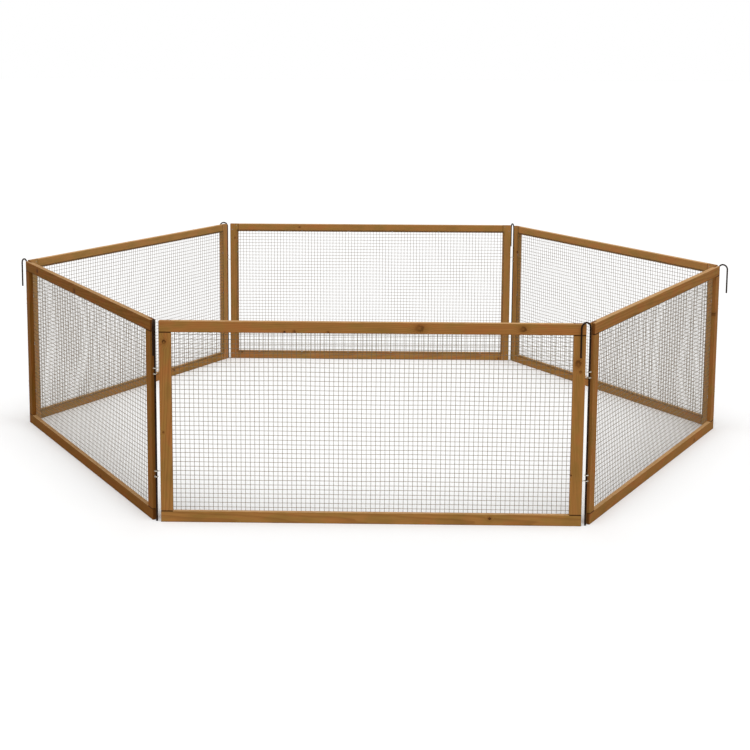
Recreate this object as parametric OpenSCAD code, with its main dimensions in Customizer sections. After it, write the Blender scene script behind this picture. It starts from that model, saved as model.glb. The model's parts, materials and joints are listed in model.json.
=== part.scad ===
// Outdoor run for rabbits: six timber frames filled with welded wire mesh. Screw eyes in the
// ends of the frames turn on steel stakes, which close the frames into a hexagonal ring.
// Millimetres, +Z up. The ring stands on Z = 0 round the origin, and its front panel faces -Y.

/* [Frame] */
// Width of one frame, from end to end of its rails
panel_w = 1150; // [700:10:1500]
// Height of one frame
panel_h = 562; // [440:2:900]
// Thickness of the frame timber
timber_t = 16; // [13:1:24]
// Width of an upright stile
stile_w = 33; // [28:1:50]
// Height of a rail
rail_h = 31; // [26:1:50]

/* [Mesh] */
// Width of the rebate that the mesh lies in, round the window's inner face
rebate_w = 7; // [6:0.5:12]
// Depth of the rebate
rebate_d = 3; // [2.5:0.5:5]
// Thickness of the welded mesh, two wires deep
mesh_t = 2; // [1.2:0.1:2.4]
// Gap between the mesh's cut edge and the wall of its rebate
mesh_edge_gap = 1; // [0.5:0.1:2]
// Width of one bar of the mesh
bar_w = 1.4; // [1:0.1:3]
// Number of gaps across one mesh
gaps_across = 24; // [8:2:24]
// Number of gaps up one mesh
gaps_up = 12; // [4:2:12]

/* [Staples and brads] */
// Thickness of a staple's square wire
staple_wire = 0.9; // [0.6:0.1:1.2]
// Length of a staple's crown, over its legs
staple_crown = 9; // [7:0.5:12]
// Depth of a staple's legs in the timber
staple_depth = 6; // [4:0.5:8]
// Number of mesh gaps from one staple to the next
staple_every = 4; // [2:2:8]
// Diameter of a brad's shank
brad_d = 1.6; // [1:0.1:2.4]
// Diameter of a brad's head
brad_head_d = 3.2; // [2.5:0.1:5]
// Thickness of a brad's head
brad_head_t = 0.8; // [0.5:0.1:1.5]
// Length of a brad
brad_l = 12; // [9:0.5:12.5]

/* [Screw eyes] */
// Gap from the end of a frame to the axis of the stake beside it
pin_gap = 12; // [9:0.5:18]
// Clearance round the stake inside an eye
eye_clear = 0.6; // [0.4:0.1:1]
// Thickness of a screw eye's ring
eye_wire = 2.4; // [2:0.1:3.5]
// Diameter of a screw eye's shank
eye_shank_d = 2.4; // [1.6:0.1:3]
// Depth of a screw eye's shank in the stile
eye_depth = 16; // [10:1:25]
// Length of the point on a screw eye's shank
eye_point = 4; // [2:0.5:6]
// Height of the lower eye on a right stile
eye_z = 126; // [60:1:200]
// Distance between the two eyes of a stile
eye_spacing = 288; // [150:1:340]
// How much higher the eyes of a left stile sit, so that neighbours pass
eye_stagger = 16; // [8:1:40]

/* [Stakes] */
// Diameter of a stake's rod
rod_d = 5.2; // [3:0.1:6]
// Gap between the tops of the frames and the underside of a crook's bend
crook_gap = 1.6; // [1:0.2:12]
// Width of a crook, between the axes of the rod and its short leg
crook_w = 30.5; // [20:0.5:40]
// Length of a crook, from its top to the end of its short leg
crook_l = 98; // [50:1:160]
// Gap between the front frame's face and the short leg that hangs before its right stile
leg_gap = 4.6; // [2:0.2:5]
// Chamfer at the two ends of a stake's rod
rod_chamfer = 0.6; // [0.2:0.1:1]

/* [Hidden] */
PANELS = ["front", "front_right", "back_right", "back", "back_left", "front_left"];
PANEL_PIECES = ["top_rail", "bottom_rail", "left_stile", "right_stile",
                "mesh", "mesh_staples", "corner_brads", "screw_eyes"];
// Corner k lies between the right stile of panel k and the left stile of panel k + 1.
CORNERS = ["front_right", "right", "back_right", "back_left", "left", "front_left"];

// Where each corner's crook points, in degrees from +X. The front right one stands off the
// front frame, and the others point clear of the ring.
leg_swing = asin((timber_t / 2 + leg_gap + rod_d / 2) / crook_w);
crook_angles = [180 + leg_swing, 326, 104, 180, 135, 270];

// The ring: its frames stand on the sides of a hexagon whose corners are the stakes' axes.
panels = len(PANELS);
turn = 360 / panels;
side = panel_w + 2 * pin_gap;
apothem = side / 2 / tan(turn / 2);

// A frame's own coordinates: X runs from the left stile to the right one as seen from
// outside, -Y points out of the ring, and the timber's middle plane is Y = 0.
outer_y = -timber_t / 2;
inner_y = timber_t / 2;
window_w = panel_w - 2 * stile_w;
window_h = panel_h - 2 * rail_h;
rebate_y = inner_y - rebate_d;

// The mesh lies on the floor of the rebate.
mesh_overlap = rebate_w - mesh_edge_gap;
mesh_w = window_w + 2 * mesh_overlap;
mesh_h = window_h + 2 * mesh_overlap;
mesh_step_x = (mesh_w - bar_w) / gaps_across;
mesh_step_z = (mesh_h - bar_w) / gaps_up;
mesh_face_y = rebate_y + mesh_t;

// A staple straddles the end of a bar, between the mesh's edge bar and the window.
staple_inset = (mesh_overlap - bar_w) / 2;

// Two brads in each half-lap, on its diagonal
brad_x = stile_w / 4;
brad_z = rail_h / 4;

// The crook bends round a half circle over the rod.
ring_r = rod_d / 2 + eye_clear + eye_wire / 2;
crook_top = panel_h + crook_gap + rod_d;
bend_z = crook_top - rod_d / 2 - crook_w / 2;
leg_end_z = crook_top - crook_l;

// How far a cutting shape runs past the surface that it cuts
over = 1;
$fn = 48;

TIMBER = [0.62, 0.40, 0.20];
GALVANISED = [0.62, 0.63, 0.64];
ZINC = [0.75, 0.75, 0.74];
DARK_STEEL = [0.28, 0.26, 0.25];

// A box between two values on each axis
module block(x, y, z) {
    translate([x[0], y[0], z[0]])
        cube([x[1] - x[0], y[1] - y[0], z[1] - z[0]]);
}

// Puts a frame's own coordinates on side k of the ring.
module on_panel(k) {
    rotate([0, 0, turn * k])
        translate([0, -apothem, 0])
            children();
}

// Puts an upright axis at corner k of the ring.
module on_corner(k) {
    rotate([0, 0, turn * k])
        translate([side / 2, -apothem, 0])
            children();
}

// A child at the right end and its mirror image at the left end
module both_ends() {
    children();
    mirror([1, 0, 0]) children();
}

// A child at the bottom of the frame and its mirror image at the top
module bottom_and_top() {
    children();
    at_top() children();
}

// Turns a piece of the bottom into the same piece at the top.
module at_top() {
    translate([0, 0, panel_h]) mirror([0, 0, 1]) children();
}

// Rail along the bottom. Its outer half runs the full width, and its inner half gives way to
// the stiles in a half-lap at each end.
module bottom_rail() {
    color(TIMBER)
        difference() {
            block([-panel_w / 2, panel_w / 2], [outer_y, inner_y], [0, rail_h]);
            both_ends()
                block([window_w / 2, panel_w / 2 + over], [0, inner_y + over], [-over, rail_h + over]);
            block([-window_w / 2 - over, window_w / 2 + over],
                  [rebate_y, inner_y + over],
                  [rail_h - rebate_w, rail_h + over]);
        }
}

module top_rail() {
    at_top() bottom_rail();
}

// Upright at the right end. Its inner half runs the full height, and its outer half gives
// way to the rails.
module right_stile() {
    color(TIMBER)
        difference() {
            block([window_w / 2, panel_w / 2], [outer_y, inner_y], [0, panel_h]);
            bottom_and_top()
                block([window_w / 2 - over, panel_w / 2 + over], [outer_y - over, 0], [-over, rail_h]);
            block([window_w / 2 - over, window_w / 2 + rebate_w],
                  [rebate_y, inner_y + over],
                  [rail_h - rebate_w, panel_h - rail_h + rebate_w]);
        }
}

module left_stile() {
    mirror([1, 0, 0]) right_stile();
}

// The welded mesh as one flat grid
module mesh() {
    color(GALVANISED)
        translate([0, mesh_face_y, panel_h / 2])
            rotate([90, 0, 0])
                linear_extrude(mesh_t)
                    difference() {
                        square([mesh_w, mesh_h], center = true);
                        for (i = [0 : gaps_across - 1], j = [0 : gaps_up - 1])
                            translate([(i + 0.5 - gaps_across / 2) * mesh_step_x,
                                       (j + 0.5 - gaps_up / 2) * mesh_step_z])
                                square([mesh_step_x - bar_w, mesh_step_z - bar_w], center = true);
                    }
}

// One staple whose crown lies on the mesh along X, with two legs that point at -Y
module staple() {
    half = staple_crown / 2;
    block([-half, half], [0, staple_wire], [-staple_wire / 2, staple_wire / 2]);
    for (x = [-half, half - staple_wire])
        block([x, x + staple_wire],
              [-mesh_t - staple_depth, staple_wire / 2],
              [-staple_wire / 2, staple_wire / 2]);
}

// Staples over the bars at even steps, round the whole window
module mesh_staples() {
    color(ZINC)
        translate([0, mesh_face_y, 0]) {
            for (i = [staple_every / 2 : staple_every : gaps_across - 1])
                bottom_and_top()
                    translate([(i - gaps_across / 2) * mesh_step_x, 0, rail_h - staple_inset])
                        staple();
            for (j = [staple_every / 2 : staple_every : gaps_up - 1])
                both_ends()
                    translate([window_w / 2 + staple_inset, 0, panel_h / 2 + (j - gaps_up / 2) * mesh_step_z])
                        rotate([0, 90, 0])
                            staple();
        }
}

// One brad driven from the inner face, its head flush with it
module brad() {
    translate([0, inner_y, 0])
        rotate([90, 0, 0]) {
            cylinder(d = brad_head_d, h = brad_head_t);
            cylinder(d = brad_d, h = brad_l);
        }
}

// Two brads through each of the frame's four half-laps
module corner_brads() {
    color(ZINC)
        both_ends()
            bottom_and_top()
                for (side_of_middle = [-1, 1])
                    translate([(panel_w - stile_w) / 2 + side_of_middle * brad_x,
                               0,
                               rail_h / 2 + side_of_middle * brad_z])
                        brad();
}

// One screw eye: a ring round the stake's axis, and a pointed shank that runs to -X
module screw_eye() {
    shank_l = pin_gap - ring_r + eye_depth - eye_point;
    rotate_extrude()
        translate([ring_r, 0])
            circle(d = eye_wire);
    translate([-ring_r, 0, 0])
        rotate([0, -90, 0]) {
            cylinder(d = eye_shank_d, h = shank_l);
            translate([0, 0, shank_l])
                cylinder(d1 = eye_shank_d, d2 = eye_shank_d / 4, h = eye_point);
        }
}

// The frame's four screw eyes, those at the left end set higher
module screw_eyes() {
    color(ZINC)
        for (z = [eye_z, eye_z + eye_spacing]) {
            translate([side / 2, 0, z])
                screw_eye();
            translate([-side / 2, 0, z + eye_stagger])
                rotate([0, 0, 180])
                    screw_eye();
        }
}

// The stake of corner k: an upright rod whose top turns over in a crook and ends in a
// short leg
module stake(k) {
    color(DARK_STEEL)
        rotate([0, 0, crook_angles[k] - turn * k]) {
            cylinder(d1 = rod_d - 2 * rod_chamfer, d2 = rod_d, h = rod_chamfer);
            translate([0, 0, rod_chamfer])
                cylinder(d = rod_d, h = bend_z - rod_chamfer);
            translate([crook_w / 2, 0, bend_z])
                rotate([90, 0, 0])
                    rotate_extrude(angle = 180)
                        translate([crook_w / 2, 0])
                            circle(d = rod_d);
            translate([crook_w, 0, leg_end_z]) {
                cylinder(d1 = rod_d - 2 * rod_chamfer, d2 = rod_d, h = rod_chamfer);
                translate([0, 0, rod_chamfer])
                    cylinder(d = rod_d, h = bend_z - leg_end_z - rod_chamfer);
            }
        }
}

for (k = [0 : panels - 1]) {
    panel = str(PANELS[k], "_panel_");
    on_panel(k) top_rail();
    on_panel(k) bottom_rail();
    on_panel(k) left_stile();
    on_panel(k) right_stile();
    on_panel(k) mesh();
    on_panel(k) mesh_staples();
    on_panel(k) corner_brads();
    on_panel(k) screw_eyes();
    on_corner(k) stake(k);
}
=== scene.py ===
"""Looks of an outdoor rabbit run: six timber frames filled with welded mesh, on steel stakes.

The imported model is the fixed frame. It gives every panel and stake its place and size, and each
piece made here stands for one of its nodes, in metres, with +Z up. A panel is worked out in its
own coordinates: X runs from the left stile to the right one as seen from outside, -Y points out
of the ring, Z is height over the ground, and Y = 0 is the timber's middle plane.
"""

import json
import logging
import math
from dataclasses import dataclass, field
from enum import Enum

import bpy
import numpy as np
from mathutils import Matrix, Vector

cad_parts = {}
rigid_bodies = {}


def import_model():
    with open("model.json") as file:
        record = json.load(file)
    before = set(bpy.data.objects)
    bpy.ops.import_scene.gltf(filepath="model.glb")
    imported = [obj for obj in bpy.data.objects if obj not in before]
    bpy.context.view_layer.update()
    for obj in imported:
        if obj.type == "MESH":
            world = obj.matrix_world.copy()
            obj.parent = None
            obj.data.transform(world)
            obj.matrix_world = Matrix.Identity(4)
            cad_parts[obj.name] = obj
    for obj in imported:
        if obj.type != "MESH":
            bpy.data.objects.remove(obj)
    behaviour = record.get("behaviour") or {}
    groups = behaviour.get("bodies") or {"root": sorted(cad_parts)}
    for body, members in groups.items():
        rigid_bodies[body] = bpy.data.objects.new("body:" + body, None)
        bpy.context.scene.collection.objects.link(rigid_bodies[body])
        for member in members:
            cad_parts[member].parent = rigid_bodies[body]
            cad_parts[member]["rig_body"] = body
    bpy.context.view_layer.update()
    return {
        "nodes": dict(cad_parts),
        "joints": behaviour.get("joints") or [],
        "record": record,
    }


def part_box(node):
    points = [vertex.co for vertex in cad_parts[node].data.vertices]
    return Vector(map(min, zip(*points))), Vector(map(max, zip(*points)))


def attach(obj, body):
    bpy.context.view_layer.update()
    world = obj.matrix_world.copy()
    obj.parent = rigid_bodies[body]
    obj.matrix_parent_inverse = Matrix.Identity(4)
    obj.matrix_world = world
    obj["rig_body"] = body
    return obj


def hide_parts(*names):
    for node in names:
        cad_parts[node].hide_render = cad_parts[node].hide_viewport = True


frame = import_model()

Array = np.ndarray
# Lowest and highest corner
Box = tuple[Vector, Vector]
# Where something starts and where it is full, or the ends of a range
Band = tuple[float, float]
Colour = tuple[float, float, float]
# A colour, plain or worked out by a material's nodes
Paint = Colour | bpy.types.NodeSocket

MM = 0.001
log = logging.getLogger("rabbit_run")


# ---------------------------------------------------------------------------------------------
# Surfaces
# ---------------------------------------------------------------------------------------------

# Spacing on the bake map: of a tube's runs, in widths of its skin, of its end caps' middles from
# the runs' ends, in radii of the caps, and of joined surfaces, in their own widths
RUN_SPACING = 1.12
CAP_SPACING = 1.5
SURFACE_SPACING = 1.02

# A field of waves: its shortest and longest wave, in shares of the middle length, and how many
# standard deviations it takes to reach 1
WAVE_SHARES = (0.6, 1.7)
WAVE_DEVIATIONS = 1.6


@dataclass
class Surface:
    """A closed surface held as whole arrays.

    Attributes:
        points: Place of each point, one row each.
        quads: Point numbers of the faces with four corners.
        triangles: Point numbers of the faces with three corners.
        quad_map: Place of each corner of the quads on the bake map.
        triangle_map: Place of each corner of the triangles on the bake map.
        values: Numbers or vectors for the materials, one for each point.
    """

    points: Array
    quads: Array
    triangles: Array
    quad_map: Array
    triangle_map: Array
    values: dict[str, Array] = field(default_factory=dict)

    def volume(self) -> float:
        """Volume inside the surface, negative where its faces point inwards."""
        triangles = np.concatenate([self.triangles, self.quads[:, [0, 1, 2]], self.quads[:, [0, 2, 3]]])
        a, b, c = (self.points[triangles[:, i]] for i in range(3))
        return float(np.einsum("ij,ij->i", a, np.cross(b, c)).sum() / 6)

    def outward(self) -> "Surface":
        """The same surface with its faces pointing outwards."""
        if self.volume() < 0:
            self.quads, self.quad_map = self.quads[:, ::-1], self.quad_map[:, ::-1]
            self.triangles, self.triangle_map = self.triangles[:, ::-1], self.triangle_map[:, ::-1]
        return self

    def mesh(self, name: str, sharp_angle: float) -> bpy.types.Mesh:
        """Puts the arrays into a mesh.

        Args:
            name: The mesh's name.
            sharp_angle: Angle between two faces, in degrees, over which their edge stays sharp.

        Returns:
            The mesh, shaded smooth, with its bake map and its values as attributes.
        """
        mesh = bpy.data.meshes.new(name)
        corners = np.concatenate([self.quads.ravel(), self.triangles.ravel()])
        quad_total, triangle_total = len(self.quads), len(self.triangles)
        starts = np.concatenate([
            np.arange(quad_total) * 4,
            quad_total * 4 + np.arange(triangle_total) * 3,
        ])
        mesh.vertices.add(len(self.points))
        mesh.vertices.foreach_set("co", self.points.astype(np.float32).ravel())
        mesh.loops.add(len(corners))
        mesh.loops.foreach_set("vertex_index", corners.astype(np.int32))
        mesh.polygons.add(quad_total + triangle_total)
        mesh.polygons.foreach_set("loop_start", starts.astype(np.int32))
        mesh.update(calc_edges=True)
        flat = np.concatenate([self.quad_map.reshape(-1, 2), self.triangle_map.reshape(-1, 2)])
        flat = (flat - flat.min(0)) / np.ptp(flat, axis=0)
        mesh.uv_layers.new(name="OFBake").data.foreach_set("uv", flat.astype(np.float32).ravel())
        for key, numbers in self.values.items():
            kind, slot = ("FLOAT_VECTOR", "vector") if numbers.ndim == 2 else ("FLOAT", "value")
            attribute = mesh.attributes.new(key, kind, "POINT")
            attribute.data.foreach_set(slot, numbers.astype(np.float32).ravel())
        mesh.shade_smooth()
        mesh.set_sharp_from_angle(angle=math.radians(sharp_angle))
        return mesh


def skin(rings: Array, values: dict[str, Array], runs: int = 1) -> Surface:
    """Closes rings of points into tubes.

    Each ring is joined to the next one by quads, and a fan of triangles closes each end. On the
    bake map a tube's skin lies flat, u round the section and v along the tube. It is cut into
    equal runs, and all runs lie side by side, with their end caps as discs above and below.

    Args:
        rings: Points as an array of tubes x stations x points round x 3.
        values: Numbers or vectors for each point, as arrays of the same first three sizes.
        runs: Number of equal runs that a tube is cut into on the bake map.

    Returns:
        The tubes as one surface, faces outwards.
    """
    tubes, stations, around = rings.shape[:3]
    number = np.arange(tubes * stations * around).reshape(tubes, stations, around)
    beside = np.roll(number, -1, axis=2)
    quads = np.stack([number[:, :-1], beside[:, :-1], beside[:, 1:], number[:, 1:]], axis=-1)
    fan = np.stack([np.zeros(around - 2, int), np.arange(1, around - 1), np.arange(2, around)], axis=-1)
    triangles = np.stack([number[:, 0][:, fan[:, ::-1]], number[:, -1][:, fan]], axis=1)

    middle = rings.mean(axis=2)
    step = np.linalg.norm(np.diff(middle, axis=1), axis=-1)
    length = np.concatenate([np.zeros((tubes, 1)), np.cumsum(step, axis=1)], axis=1)
    round_step = np.linalg.norm(np.roll(rings, -1, axis=2) - rings, axis=-1).max(axis=1)
    girth = np.concatenate([np.zeros((tubes, 1)), np.cumsum(round_step, axis=1)], axis=1)
    width = girth[:, -1].max()
    column = width * RUN_SPACING
    run_length = (length[:, -1] / runs)[:, None]
    half_way = (length[:, 1:] + length[:, :-1]) / 2
    run = np.minimum((half_way / run_length).astype(int), runs - 1)
    shift = (np.arange(tubes)[:, None] * runs + run) * column
    u = np.stack([girth[:, :-1], girth[:, 1:], girth[:, 1:], girth[:, :-1]], axis=-1)
    u = u[:, None] + shift[..., None, None]
    low, high = length[:, :-1] - run * run_length, length[:, 1:] - run * run_length
    v = np.stack([low, low, high, high], axis=-1)[:, :, None] + np.zeros_like(u)
    quad_map = np.stack([u, v], axis=-1)

    turn = np.arange(around) / around * 2 * math.pi
    radius = width / 2 / math.pi
    disc = np.stack([np.cos(turn), np.sin(turn)], axis=-1) * radius
    left = (np.arange(tubes) * runs * column)[:, None]
    centre_x = np.concatenate([left, left + (runs - 1) * column], axis=1) + width / 2
    away = CAP_SPACING * radius
    centre_y = np.array([-away, high.max() + away]) + np.zeros_like(centre_x)
    discs = np.stack([centre_x, centre_y], axis=-1)[:, :, None] + disc
    triangle_map = np.stack([discs[:, 0][:, fan[:, ::-1]], discs[:, 1][:, fan]], axis=1)

    flat_values = {key: numbers.reshape(-1, *numbers.shape[3:]) for key, numbers in values.items()}
    return Surface(
        rings.reshape(-1, 3),
        quads.reshape(-1, 4),
        triangles.reshape(-1, 3),
        quad_map.reshape(-1, 4, 2),
        triangle_map.reshape(-1, 3, 2),
        flat_values,
    ).outward()


def joined(surfaces: list[Surface]) -> Surface:
    """Joins surfaces with the same values into one, side by side on the bake map."""
    first = np.cumsum([0] + [len(s.points) for s in surfaces])
    span = np.cumsum([0] + [SURFACE_SPACING * np.ptp(s.quad_map[..., 0]) for s in surfaces])
    shifts = [np.array([x, 0.0]) for x in span]
    return Surface(
        np.concatenate([s.points for s in surfaces]),
        np.concatenate([s.quads + i for s, i in zip(surfaces, first)]),
        np.concatenate([s.triangles + i for s, i in zip(surfaces, first)]),
        np.concatenate([s.quad_map + x for s, x in zip(surfaces, shifts)]),
        np.concatenate([s.triangle_map + x for s, x in zip(surfaces, shifts)]),
        {key: np.concatenate([s.values[key] for s in surfaces]) for key in surfaces[0].values},
    )


def round_tube(line: Array, radius: Array, normal: Array, around: int) -> Array:
    """Rings of a round tube along a line.

    A point is the line's point, plus the radius times the cosine of its angle along the normal,
    plus the radius times its sine along the cross product of the line's direction and the normal.

    Args:
        line: Points of the centre line, as ... x stations x 3.
        radius: Radius at each station, or at each station and angle.
        normal: A direction square to the line, one for each station or one for all.
        around: Number of points round a ring.

    Returns:
        The rings, as ... x stations x around x 3.
    """
    direction = np.gradient(line, axis=-2)
    direction /= np.linalg.norm(direction, axis=-1, keepdims=True)
    normal = np.broadcast_to(normal, line.shape)
    second = np.cross(direction, normal)
    angle = np.arange(around) / around * 2 * math.pi
    radius = radius[..., None] if radius.ndim == line.ndim - 1 else radius
    out = normal[..., None, :] * np.cos(angle)[:, None] + second[..., None, :] * np.sin(angle)[:, None]
    return line[..., None, :] + out * radius[..., None]


def waves(places: Array, seed: int, wavelength: float, count: int = 5) -> Array:
    """A gentle random field from about -1 to 1.

    It is the mean of sine waves whose directions, lengths and phases are drawn with a seed. Times
    the square root of twice their number it has a standard deviation of 1, and over
    WAVE_DEVIATIONS it seldom passes 1.

    Args:
        places: Points of any number of coordinates, on the last axis, in metres.
        seed: Seed of the draw.
        wavelength: Middle length of the waves, in metres.
        count: Number of waves.

    Returns:
        One number for each point.
    """
    draw = np.random.default_rng(seed)
    ways = draw.normal(size=(places.shape[-1], count))
    ways /= np.linalg.norm(ways, axis=0)
    ways *= 2 * math.pi / (wavelength * draw.uniform(*WAVE_SHARES, count))
    phases = draw.uniform(0, 2 * math.pi, count)
    return np.sin(places @ ways + phases).mean(axis=-1) * math.sqrt(2 * count) / WAVE_DEVIATIONS


# ---------------------------------------------------------------------------------------------
# Material nodes
# ---------------------------------------------------------------------------------------------


class Term:
    """A number that a material's nodes work out, for use in plain sums."""

    def __init__(self, shader: "Shader", socket: bpy.types.NodeSocket) -> None:
        """Keeps the shader and the socket that gives the number."""
        self.shader = shader
        self.socket = socket

    def __add__(self, other: "Term | float") -> "Term":
        """This number plus another."""
        return self.shader.maths("ADD", self, other)

    __radd__ = __add__

    def __sub__(self, other: "Term | float") -> "Term":
        """This number less another."""
        return self.shader.maths("SUBTRACT", self, other)

    def __rsub__(self, other: float) -> "Term":
        """A plain number less this one."""
        return self.shader.maths("SUBTRACT", other, self)

    def __mul__(self, other: "Term | float") -> "Term":
        """This number times another."""
        return self.shader.maths("MULTIPLY", self, other)

    def __truediv__(self, other: "Term | float") -> "Term":
        """This number over another."""
        return self.shader.maths("DIVIDE", self, other)

    def __abs__(self) -> "Term":
        """This number without its sign."""
        return self.shader.maths("ABSOLUTE", self)

    def fraction(self) -> "Term":
        """What is left of this number over the whole number below it."""
        return self.shader.maths("FRACT", self)

    def root(self) -> "Term":
        """This number's square root."""
        return self.shader.maths("SQRT", self)

    def least(self, other: "Term | float") -> "Term":
        """The smaller of two numbers."""
        return self.shader.maths("MINIMUM", self, other)

    def most(self, other: "Term | float") -> "Term":
        """The larger of two numbers."""
        return self.shader.maths("MAXIMUM", self, other)

    def spread(self, least: float, most: float) -> "Term":
        """From one value where this number is 0 to another where it is 1, in a straight line."""
        return self * (most - least) + least

    def fade(self, start: float, end: float) -> "Term":
        """From 0 at one value of this number to 1 at another, in a smooth step."""
        node = self.shader.node("ShaderNodeMapRange", interpolation_type="SMOOTHSTEP")
        self.shader.feed(node.inputs["Value"], self)
        node.inputs["From Min"].default_value = start
        node.inputs["From Max"].default_value = end
        return Term(self.shader, node.outputs["Result"])


class Shader:
    """A material under construction, with one Principled shader."""

    def __init__(self, name: str) -> None:
        """Starts an empty material with that name."""
        self.material = bpy.data.materials.new(name)
        self.material.use_nodes = True
        self.tree = self.material.node_tree
        self.principled = self.tree.nodes["Principled BSDF"]

    def node(self, kind: str, **settings: object) -> bpy.types.Node:
        """Adds a node and sets its properties."""
        node = self.tree.nodes.new(kind)
        for key, value in settings.items():
            setattr(node, key, value)
        return node

    def feed(self, socket: bpy.types.NodeSocket, value: Term | Paint | float) -> None:
        """Links a socket to a term or an output, or sets it to a plain number or colour."""
        if isinstance(value, Term):
            self.tree.links.new(value.socket, socket)
        elif isinstance(value, bpy.types.NodeSocket):
            self.tree.links.new(value, socket)
        elif isinstance(value, tuple):
            socket.default_value = (*value, 1.0) if len(socket.default_value) == 4 else value
        else:
            socket.default_value = value

    def maths(self, operation: str, *values: Term | float) -> Term:
        """One step of arithmetic on terms or plain numbers."""
        node = self.node("ShaderNodeMath", operation=operation)
        for socket, value in zip(node.inputs, values):
            self.feed(socket, value)
        return Term(self, node.outputs[0])

    def parts(self, name: str) -> tuple[Term, Term, Term]:
        """The three parts of a vector that the mesh holds for each point."""
        return self.split(self.node("ShaderNodeAttribute", attribute_name=name).outputs["Vector"])

    def place(self) -> tuple[Term, Term, Term]:
        """The point's place on the object at rest."""
        return self.split(self.node("ShaderNodeTexCoord").outputs["Object"])

    def split(self, vector: bpy.types.NodeSocket) -> tuple[Term, Term, Term]:
        """The three parts of a vector socket."""
        node = self.node("ShaderNodeSeparateXYZ")
        self.tree.links.new(vector, node.inputs[0])
        return tuple(Term(self, node.outputs[i]) for i in range(3))

    def none(self) -> Term:
        """A term that is 0 everywhere."""
        return self.maths("ADD", 0.0, 0.0)

    def noise(self, x: Term, y: Term, z: Term, detail: float = 2.0, roughness: float = 0.5) -> Term:
        """Soft noise from 0 to 1 with its first lumps one unit across."""
        joint = self.node("ShaderNodeCombineXYZ")
        for socket, value in zip(joint.inputs, (x, y, z)):
            self.feed(socket, value)
        node = self.node("ShaderNodeTexNoise")
        self.tree.links.new(joint.outputs[0], node.inputs["Vector"])
        node.inputs["Scale"].default_value = 1.0
        node.inputs["Detail"].default_value = detail
        node.inputs["Roughness"].default_value = roughness
        return Term(self, node.outputs["Fac"])

    def mix(self, share: Term, first: Paint, second: Paint) -> bpy.types.NodeSocket:
        """A colour between two colours, by the second one's share."""
        node = self.node("ShaderNodeMix", data_type="RGBA")
        self.feed(node.inputs[0], share)
        self.feed(node.inputs[6], first)
        self.feed(node.inputs[7], second)
        return node.outputs[2]

    def dimmed(self, colour: Paint, level: Term) -> bpy.types.NodeSocket:
        """A colour times a number."""
        node = self.node("ShaderNodeVectorMath", operation="SCALE")
        self.feed(node.inputs[0], colour)
        self.feed(node.inputs["Scale"], level)
        return node.outputs[0]

    def filtered(self, colour: bpy.types.NodeSocket, name: str) -> bpy.types.NodeSocket:
        """A colour times a colour that the mesh holds for each point."""
        node = self.node("ShaderNodeVectorMath", operation="MULTIPLY")
        held = self.node("ShaderNodeAttribute", attribute_name=name)
        self.tree.links.new(colour, node.inputs[0])
        self.tree.links.new(held.outputs["Vector"], node.inputs[1])
        return node.outputs[0]

    def relief(self, height: Term) -> None:
        """Raises the surface by a height in metres, in its shading."""
        node = self.node("ShaderNodeBump")
        node.inputs["Strength"].default_value = 1.0
        node.inputs["Distance"].default_value = 1.0
        self.feed(node.inputs["Height"], height)
        self.tree.links.new(node.outputs[0], self.principled.inputs["Normal"])

    def finished(self, colour: Paint, roughness: Term, **plain: float) -> bpy.types.Material:
        """Feeds the Principled shader and returns the material.

        Args:
            colour: Base colour.
            roughness: Roughness.
            **plain: Other sockets by name, spaces as underscores, as uniform numbers.

        Returns:
            The material.
        """
        self.feed(self.principled.inputs["Base Color"], colour)
        self.feed(self.principled.inputs["Roughness"], roughness)
        for key, value in plain.items():
            self.principled.inputs[key.replace("_", " ")].default_value = value
        return self.material


# ---------------------------------------------------------------------------------------------
# Finishes
# ---------------------------------------------------------------------------------------------


@dataclass(frozen=True)
class GrainNoise:
    """Soft noise drawn out along a board.

    Attributes:
        along: Lumps to a metre along the board.
        across: Lumps to a metre across it.
        detail: Number of finer layers of noise.
        roughness: Strength of each finer layer.
        shifted: Which of the three coordinates the board's own number shifts.
    """

    along: float
    across: float
    detail: float = 2.0
    roughness: float = 0.5
    shifted: int = 2

    def lumps(self, s: Shader, log_place: tuple[Term, Term, Term], number: Term) -> Term:
        """The noise from 0 to 1 at a place in the log, on the board with that number."""
        scales = (self.along, self.across, self.across)
        scaled = [part * scale for part, scale in zip(log_place, scales)]
        scaled[self.shifted] += number
        return s.noise(*scaled, self.detail, self.roughness)


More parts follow.
